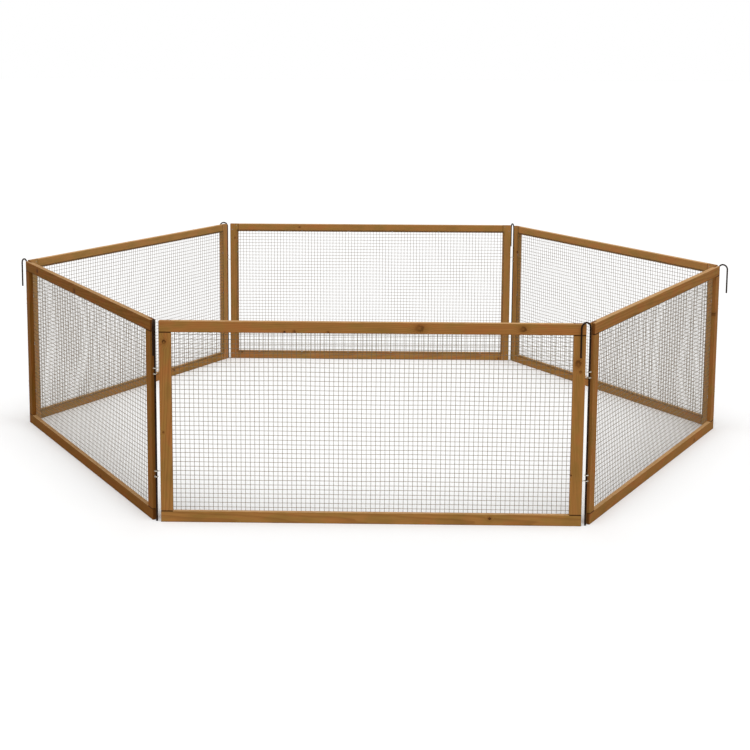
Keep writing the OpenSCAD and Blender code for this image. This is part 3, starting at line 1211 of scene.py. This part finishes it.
def turned_tubes(profile: Array, axis_places: Array, around: int) -> Array:
    """Rings of shapes turned about axes that run along Y.

    Args:
        profile: Rows of (Y, radius) along the shape.
        axis_places: Rows of (x, z), one for each axis.
        around: Number of points round a ring.

    Returns:
        The rings, as shapes x stations x around x 3.
    """
    angle = np.arange(around) / around * 2 * math.pi
    circle = np.stack([np.cos(angle), 0 * angle, np.sin(angle)], axis=-1)
    shape = profile[:, 1][:, None, None] * circle + np.array([0.0, 1.0, 0.0]) * profile[:, 0][:, None, None]
    places = np.stack([axis_places[:, 0], 0 * axis_places[:, 0], axis_places[:, 1]], axis=-1)
    return places[:, None, None] + shape


@dataclass
class Brads:
    """Brads through the corner half-laps, driven from the inner face, two to a corner.

    A brad is turned: a pointed shank, and a flat head with a low dome that just stands proud.
    """

    panel: PanelSizes
    shank_r: float = 0.8 * MM
    head_r: float = 1.6 * MM
    head_t: float = 0.8 * MM
    length: float = 12.0 * MM
    point: float = 1.6 * MM
    point_r: float = 0.15 * MM
    flare: float = 0.3 * MM
    proud: float = 0.18 * MM
    around: int = 14

    def profile(self) -> Array:
        """Rows of (Y, radius) from the point to the dome's middle.

        The last five are the head: its underside, its rim at both edges, and two steps of dome.
        """
        face = self.panel.timber_t / 2
        tip, under, top = face - self.length, face - self.head_t, face + self.proud
        return np.array([
            (tip, self.point_r),
            (tip + self.point, self.shank_r),
            (under - self.flare, self.shank_r),
            (under, self.head_r * 0.92),
            (face - 0.15 * MM, self.head_r),
            (face + 0.02 * MM, self.head_r * 0.98),
            (top - 0.05 * MM, self.head_r * 0.72),
            (top, self.head_r * 0.25),
        ])

    def surface(self) -> Surface:
        """All brads of a panel."""
        p = self.panel
        places = [
            (end * ((p.width - p.stile_w) / 2 + side * p.stile_w / 4),
             p.height / 2 + up * ((p.height - p.rail_h) / 2 - side * p.rail_h / 4))
            for end in (-1, 1) for up in (-1, 1) for side in (-1, 1)
        ]
        return skin(turned_tubes(self.profile(), np.array(places), self.around), {})


@dataclass
class ScrewEyes:
    """Four screw eyes in the ends of the stiles, each a wire bent to a ring on a threaded shank.

    The wire's line is an arc about the stake's axis, a cubic curve from the arc's end to the
    shank's line, set by its directions at both ends times a pull, and the straight shank. The
    thread is a ridge whose height depends on the length along the shank in pitches less the angle
    round it in turns. It grows over the fade, and tapers to the tip over the point.
    """

    panel: PanelSizes
    wire: float = 2.4 * MM
    shank_r: float = 1.2 * MM
    thread: float = 0.3 * MM
    thread_pitch: float = 1.7 * MM
    thread_fade: float = 1.5 * MM
    depth: float = 16.0 * MM
    point: float = 4.0 * MM
    tip_share: float = 0.12
    cut_end_share: float = 0.8
    stagger: float = 16.0 * MM
    open_from: float = 219.0
    neck_at: float = 142.0
    neck_length: float = 3.6 * MM
    leaving_pull: float = 5.0 * MM
    arriving_pull: float = 5.5 * MM
    stations_round: int = 30
    stations_on_neck: int = 8
    stations_per_turn: int = 7
    around: int = 12

    def line(self, ring_r: float) -> tuple[Array, float, float, int]:
        """The wire's line in its plane.

        Args:
            ring_r: Radius of the arc.

        Returns:
            Rows of (x, y), x at the shank's start and at its tip, and the number of rows before it.
        """
        p = self.panel
        arc = np.radians(np.linspace(self.open_from, self.neck_at + 360, self.stations_round))
        ring = np.stack([np.cos(arc), np.sin(arc)], axis=-1) * ring_r
        heading = np.array([-math.sin(arc[-1]), math.cos(arc[-1])])
        shank_from, tip = -(ring_r + self.neck_length), -(p.corner_x - p.width / 2 + self.depth)
        t = np.linspace(0, 1, self.stations_on_neck + 1)[1:, None]
        leave, arrive = heading * self.leaving_pull, np.array([-self.arriving_pull, 0.0])
        neck = ((2 * t**3 - 3 * t**2 + 1) * ring[-1] + (t**3 - 2 * t**2 + t) * leave
                + (3 * t**2 - 2 * t**3) * np.array([shank_from, 0.0]) + (t**3 - t**2) * arrive)
        turns = (shank_from - tip) / self.thread_pitch
        shank_x = np.linspace(shank_from, tip, int(turns * self.stations_per_turn))[1:]
        shank = np.stack([shank_x, 0 * shank_x], axis=-1)
        return np.concatenate([ring, neck, shank]), shank_from, tip, len(ring) + len(neck)

    def shape(self, ring_r: float) -> Array:
        """Rings of one eye about the origin, its shank towards -X."""
        flat, shank_from, tip, before_shank = self.line(ring_r)
        line = np.concatenate([flat, np.zeros((len(flat), 1))], axis=-1)
        x = line[:, :1]
        angle = np.arange(self.around) / self.around
        ridge = (1 - 2 * np.abs(((x - tip) / self.thread_pitch - angle) % 1 - 0.5)) ** 2
        threaded = np.clip((shank_from - x) / self.thread_fade, 0, 1)
        threaded[:before_shank] = 0
        slim = np.clip((x - tip) / self.point, self.tip_share, 1)
        plain = self.wire / 2 + (self.shank_r - self.thread - self.wire / 2) * threaded
        radius = (plain + self.thread * ridge * threaded) * np.where(threaded > 0, slim, 1)
        radius[0] *= self.cut_end_share
        return round_tube(line, radius, np.array([0.0, 0.0, 1.0]), self.around)

    def surface(self, eyes_box: Box) -> Surface:
        """All four eyes of a panel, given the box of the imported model's eyes."""
        p, (low, high) = self.panel, eyes_box
        shape = self.shape(high.x - p.corner_x - self.wire / 2)
        lower, upper = low.z + self.wire / 2, high.z - self.wire / 2 - self.stagger
        placed = []
        for z in (lower, upper):
            placed.append(shape + np.array([p.corner_x, 0, z]))
            placed.append(shape * np.array([-1, -1, 1]) + np.array([-p.corner_x, 0, z + self.stagger]))
        return skin(np.stack(placed), {})


@dataclass
class Stake:
    """A steel rod whose top turns over in a crook and ends in a short leg.

    Its line runs up the stake's axis, over a half circle, and down the leg. The rod's ends are
    eased by three rings, whose radius shrinks nearly like a quarter circle. The steps from the
    end and what the radius loses there are shares of the easing.
    """

    name: str
    panel: PanelSizes
    crook_l: float = 98.0 * MM
    ease: float = 0.9 * MM
    ease_steps: tuple[float, float, float] = (0.0, 0.15, 0.5)
    ease_losses: tuple[float, float, float] = (1.0, 0.47, 0.13)
    stations_on_rod: int = 20
    stations_on_leg: int = 4
    stations_on_bend: int = 24
    around: int = 16

    def measures(self) -> tuple[Array, float, Array, float]:
        """The stake's measures, read from the box of its node.

        Returns:
            The foot of its axis, the rod's radius, the way from the axis to the leg, and its top.
        """
        low, high = (np.array(corner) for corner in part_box(self.name))
        middle = (low + high) / 2
        corner = round(math.degrees(math.atan2(middle[1], middle[0])) / 60) * math.radians(60)
        foot = 2 * self.panel.corner_x * np.array([math.cos(corner), math.sin(corner), 0.0])
        radius = min(np.abs(low - foot)[:2].min(), np.abs(high - foot)[:2].min())
        way = (low + high - 2 * foot) * np.array([1, 1, 0])
        return foot, float(radius), way, float(high[2])

    def surface(self) -> Surface:
        """The stake's surface in the ring's frame."""
        foot, radius, way, top = self.measures()
        width = float(np.linalg.norm(way))
        bend_z = top - radius - width / 2
        rod_z = np.linspace(self.ease, bend_z, self.stations_on_rod)
        leg_z = np.linspace(bend_z, top - self.crook_l + self.ease, self.stations_on_leg)
        bend = np.linspace(0, math.pi, self.stations_on_bend + 2)[1:-1]
        steps, losses = self.ease * np.array(self.ease_steps), self.ease * np.array(self.ease_losses)
        ends = len(steps)
        out = np.concatenate([
            np.zeros(ends + len(rod_z)), (1 - np.cos(bend)) / 2, np.ones(len(leg_z) + ends)])
        height = np.concatenate([
            steps, rod_z, bend_z + width / 2 * np.sin(bend), leg_z, leg_z[-1] - self.ease + steps[::-1]])
        up = np.array([0.0, 0.0, 1.0])
        line = foot + out[:, None] * way + height[:, None] * up
        radii = np.full(len(line), radius)
        radii[:ends] -= losses
        radii[-ends:] -= losses[::-1]
        normal = np.cross(way / width, up)
        return skin(round_tube(line, radii, normal, self.around)[None], {}, runs=4)


# ---------------------------------------------------------------------------------------------
# The ring of panels and stakes
# ---------------------------------------------------------------------------------------------


# Angles over which an edge stays sharp: on boards, on turned and bent steel, and on mesh wire,
# whose six sides meet at 60 degrees and are shaded round
BOARD_SHARP = 35.0
STEEL_SHARP = 50.0
WIRE_SHARP = 70.0

# How far apart the seeds of two panels and of two boards are, and the mesh's from its panel's
SEEDS_PER_PANEL = 100
SEEDS_PER_BOARD = 10
MESH_SEED = 50


def add_piece(node: str, surface: Surface, material: bpy.types.Material,
              sharp_angle: float) -> bpy.types.Object:
    """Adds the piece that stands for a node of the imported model.

    Args:
        node: The node's name.
        surface: The piece's surface in the ring's frame.
        material: Its finish.
        sharp_angle: Angle, in degrees, over which an edge stays sharp.

    Returns:
        The piece, riding on the node's body.
    """
    piece = bpy.data.objects.new(node + "_made", surface.mesh(node + "_made", sharp_angle))
    bpy.context.scene.collection.objects.link(piece)
    piece.data.materials.append(material)
    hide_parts(node)
    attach(piece, frame["nodes"][node]["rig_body"])
    log.info("%s: %d faces", piece.name, len(piece.data.polygons))
    return piece


@dataclass
class Panel:
    """One framed panel of the ring: four timbers, a sheet of mesh and its fixings."""

    name: str
    sizes: PanelSizes
    seed: int

    def to_ring(self, surface: Surface) -> Surface:
        """Moves a surface from the panel's coordinates to the panel's side of the ring."""
        low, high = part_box(f"{self.name}_top_rail")
        middle = (low + high) / 2
        turn = math.atan2(middle.x, -middle.y)
        cos, sin = math.cos(turn), math.sin(turn)
        rotation = np.array([[cos, -sin, 0.0], [sin, cos, 0.0], [0.0, 0.0, 1.0]])
        surface.points = (surface.points - np.array([0.0, self.sizes.apothem, 0.0])) @ rotation.T
        return surface

    def build(self, timber: bpy.types.Material, metals: dict[str, bpy.types.Material],
              eyes_box: Box) -> None:
        """Adds the panel's pieces.

        Args:
            timber: The timber's finish.
            metals: The metal finishes by material slot.
            eyes_box: Box of the front panel's screw eyes, whose x and z are those of the panel.
        """
        for i, member in enumerate(Member):
            node = f"{self.name}_{member.value}"
            tone_and_painted_light = STAIN_TONE_AND_PAINTED_LIGHT.get(node, STAIN_TONE_AND_PAINTED_LIGHT[self.name])
            board = Board(node, member, self.sizes, tone_and_painted_light, self.seed + SEEDS_PER_BOARD * i)
            piece = add_piece(
                node, self.to_ring(board.surface()), timber, BOARD_SHARP)
            piece.modifiers.new("even_shading", "WEIGHTED_NORMAL").keep_sharp = True
        mesh = WeldedMesh(self.sizes, self.seed + MESH_SEED)
        made = {
            "mesh": ("galvanised_mesh", mesh.surface(), WIRE_SHARP),
            "mesh_staples": ("galvanised_staples", Staples(self.sizes, mesh).surface(), STEEL_SHARP),
            "corner_brads": ("brad_steel", Brads(self.sizes).surface(), STEEL_SHARP),
            "screw_eyes": ("zinc_plated_eyes", ScrewEyes(self.sizes).surface(eyes_box), STEEL_SHARP),
        }
        for part, (slot, surface, sharp_angle) in made.items():
            add_piece(f"{self.name}_{part}", self.to_ring(surface), metals[slot], sharp_angle)


# ---------------------------------------------------------------------------------------------
# Studio and camera
# ---------------------------------------------------------------------------------------------


@dataclass(frozen=True)
class Lamp:
    """A far soft lamp: where it shines from, its strength, and how wide it looks, in degrees."""

    name: str
    comes_from: tuple[float, float, float]
    strength: float
    wide: float

    def build(self) -> None:
        """Adds the lamp."""
        data = bpy.data.lights.new(self.name, "SUN")
        data.energy = self.strength
        data.angle = math.radians(self.wide)
        lamp = bpy.data.objects.new(self.name, data)
        direction = np.array(self.comes_from)
        azimuth = math.atan2(direction[0], -direction[1])
        slope = math.atan2(math.hypot(direction[0], direction[1]), direction[2])
        lamp.rotation_euler = (slope, 0.0, azimuth)
        bpy.context.scene.collection.objects.link(lamp)


@dataclass(frozen=True)
class Studio:
    """A pale floor, a white surround and soft lamps from above."""

    floor_half: float = 40.0
    floor_seen: float = 0.83
    floor_bounce: float = 0.45
    sky: float = 0.65
    lamps: tuple[Lamp, ...] = (
        Lamp("key_lamp", (0.05, -0.30, 1.0), 2.00, 50.0),
        Lamp("fill_lamp", (-0.5, -1.0, 0.5), 0.20, 60.0),
    )

    def build(self) -> None:
        """Adds the floor, the surround and the lamps."""
        self.build_floor()
        self.build_surround()
        for lamp in self.lamps:
            lamp.build()

    def build_floor(self) -> None:
        """Adds the floor, pale to the eye and a little darker in what it throws back."""
        half = self.floor_half
        mesh = bpy.data.meshes.new("floor")
        mesh.from_pydata([(-half, -half, 0), (half, -half, 0), (half, half, 0), (-half, half, 0)],
                         [], [(0, 1, 2, 3)])
        floor = bpy.data.objects.new("floor", mesh)
        bpy.context.scene.collection.objects.link(floor)
        material = bpy.data.materials.new("pale_floor")
        material.use_nodes = True
        tree = material.node_tree
        tree.nodes.clear()
        share = self.seen_share(tree)
        colour = tree.nodes.new("ShaderNodeMix")
        colour.data_type = "RGBA"
        colour.inputs[6].default_value = (*[self.floor_bounce] * 3, 1)
        colour.inputs[7].default_value = (*[self.floor_seen] * 3, 1)
        diffuse = tree.nodes.new("ShaderNodeBsdfDiffuse")
        out = tree.nodes.new("ShaderNodeOutputMaterial")
        tree.links.new(share, colour.inputs[0])
        tree.links.new(colour.outputs[2], diffuse.inputs["Color"])
        tree.links.new(diffuse.outputs[0], out.inputs["Surface"])
        mesh.materials.append(material)

    def build_surround(self) -> None:
        """Makes the world white where it is seen or mirrored, and a soft sky for the light."""
        world = bpy.data.worlds.new("white_surround")
        bpy.context.scene.world = world
        world.use_nodes = True
        tree = world.node_tree
        background = tree.nodes["Background"]
        background.inputs["Color"].default_value = (1, 1, 1, 1)
        strength = tree.nodes.new("ShaderNodeMapRange")
        strength.inputs["To Min"].default_value = self.sky
        tree.links.new(self.seen_share(tree), strength.inputs["Value"])
        tree.links.new(strength.outputs[0], background.inputs["Strength"])

    def seen_share(self, tree: bpy.types.NodeTree) -> bpy.types.NodeSocket:
        """1 for rays from the camera, from gloss and through glass, and 0 for all others."""
        path = tree.nodes.new("ShaderNodeLightPath")
        total = path.outputs["Is Camera Ray"]
        for name in ("Is Glossy Ray", "Is Transmission Ray"):
            node = tree.nodes.new("ShaderNodeMath")
            node.operation = "MAXIMUM"
            tree.links.new(total, node.inputs[0])
            tree.links.new(path.outputs[name], node.inputs[1])
            total = node.outputs[0]
        return total


@dataclass(frozen=True)
class PhotoCamera:
    """The photograph's viewpoint: place in metres, angles in degrees, and lens in millimetres.

    The yaw turns the view from +Y towards +X, the pitch tips it down, and the roll turns it about
    its own axis. The shifts are shares of the picture's width.
    """

    place: tuple[float, float, float] = (-0.01704, -4.78600, 1.31678)
    yaw: float = -1.260
    pitch: float = 8.044
    roll: float = 0.210
    lens: float = 68.473
    shift: tuple[float, float] = (0.0533, -0.1800)

    def build(self) -> None:
        """Adds the camera and makes it the scene's."""
        yaw, pitch, roll = (math.radians(a) for a in (self.yaw, self.pitch, self.roll))
        forward = np.array([
            math.sin(yaw) * math.cos(pitch), math.cos(yaw) * math.cos(pitch), -math.sin(pitch)])
        level = np.array([math.cos(yaw), -math.sin(yaw), 0.0])
        upright = np.cross(level, forward)
        right = level * math.cos(roll) + upright * math.sin(roll)
        up = upright * math.cos(roll) - level * math.sin(roll)
        turn = Matrix(np.stack([right, up, -forward], axis=1).tolist()).to_4x4()
        data = bpy.data.cameras.new("photo_camera")
        data.lens = self.lens
        data.shift_x, data.shift_y = self.shift
        camera = bpy.data.objects.new("photo_camera", data)
        camera.matrix_world = Matrix.Translation(self.place) @ turn
        bpy.context.scene.collection.objects.link(camera)
        bpy.context.scene.camera = camera


# ---------------------------------------------------------------------------------------------
# The whole run
# ---------------------------------------------------------------------------------------------


def main() -> None:
    """Builds the panels, the stakes, the studio and the camera."""
    logging.basicConfig(level=logging.INFO, format="%(name)s %(message)s")
    bpy.context.scene.view_settings.view_transform = "Standard"
    sizes = PanelSizes.from_frame()
    timber = StainedPine().material(sizes)
    metals = {
        finish.name: finish.material()
        for finish in (GALVANISED_MESH, STAPLE_STEEL, BRAD_STEEL, ZINC_PLATE, STAKE_STEEL)
    }
    eyes_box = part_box("front_panel_screw_eyes")
    bodies = list(frame["record"]["behaviour"]["bodies"])
    for i, body in enumerate(b for b in bodies if b.endswith("_panel")):
        Panel(body, sizes, SEEDS_PER_PANEL * (i + 1)).build(timber, metals, eyes_box)
    for body in (b for b in bodies if b.endswith("_stake")):
        add_piece(
            body, Stake(body, sizes).surface(), metals["stake_steel"], STEEL_SHARP)
    Studio().build()
    PhotoCamera().build()


if __name__ == "__main__":
    main()
